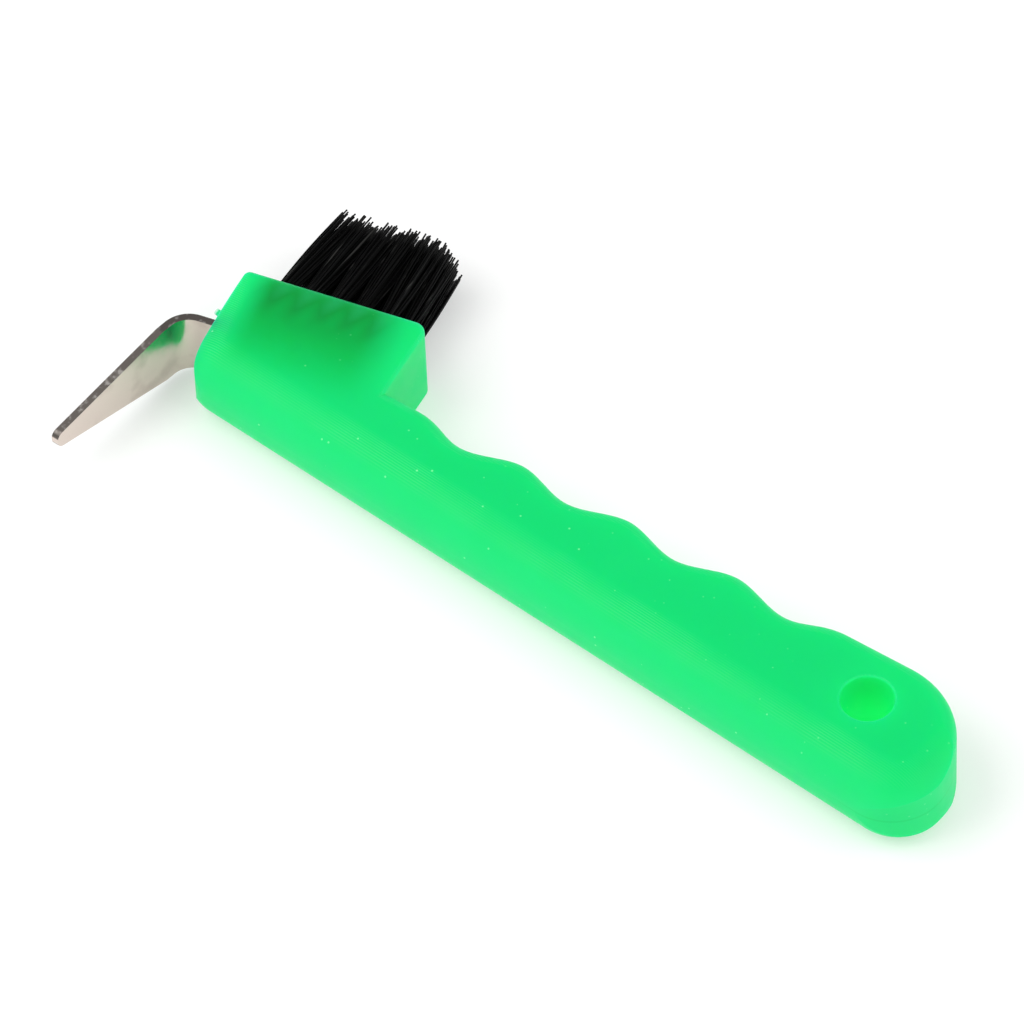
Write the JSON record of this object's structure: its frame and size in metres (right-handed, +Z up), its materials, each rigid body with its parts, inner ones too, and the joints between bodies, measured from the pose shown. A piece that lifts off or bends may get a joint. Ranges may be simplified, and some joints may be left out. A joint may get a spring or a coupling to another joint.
{
  "type": "hoof pick",
  "caption": "Hoof pick: a bent steel pick and a short bristle brush on the head of a moulded finger-grip handle with a hang hole.",
  "frame": {"origin": "bottom centre of the whole tool's bounding box, as it lies on its side", "axes": "+X along the grip towards the tail with the hang hole, +Y on the side the brush face points to, +Z up through the thickness"},
  "size_m": [0.1704, 0.0716, 0.017],
  "materials": {
    "green_plastic": "satin, slightly translucent moulded plastic",
    "plated_steel": "bright plated sheet with darker sheared edges",
    "black_bristle": "stiff black nylon filament",
    "anchor_wire": "flat drawn wire"
  },
  "bodies": {
    "root": {"handle": "green_plastic", "hook": "plated_steel", "tuft_1_1": "black_bristle", "anchor_1_1": "anchor_wire", "tuft_1_2": "black_bristle", "anchor_1_2": "anchor_wire", "tuft_1_3": "black_bristle", "anchor_1_3": "anchor_wire", "tuft_1_4": "black_bristle", "anchor_1_4": "anchor_wire", "tuft_1_5": "black_bristle", "anchor_1_5": "anchor_wire", "tuft_2_1": "black_bristle", "anchor_2_1": "anchor_wire", "tuft_2_2": "black_bristle", "anchor_2_2": "anchor_wire", "tuft_2_3": "black_bristle", "anchor_2_3": "anchor_wire", "tuft_2_4": "black_bristle", "anchor_2_4": "anchor_wire", "tuft_2_5": "black_bristle", "anchor_2_5": "anchor_wire", "tuft_3_1": "black_bristle", "anchor_3_1": "anchor_wire", "tuft_3_2": "black_bristle", "anchor_3_2": "anchor_wire", "tuft_3_3": "black_bristle", "anchor_3_3": "anchor_wire", "tuft_3_4": "black_bristle", "anchor_3_4": "anchor_wire", "tuft_3_5": "black_bristle", "anchor_3_5": "anchor_wire", "tuft_4_1": "black_bristle", "anchor_4_1": "anchor_wire", "tuft_4_2": "black_bristle", "anchor_4_2": "anchor_wire", "tuft_4_3": "black_bristle", "anchor_4_3": "anchor_wire", "tuft_4_4": "black_bristle", "anchor_4_4": "anchor_wire", "tuft_4_5": "black_bristle", "anchor_4_5": "anchor_wire"}
  },
  "joints": []
}
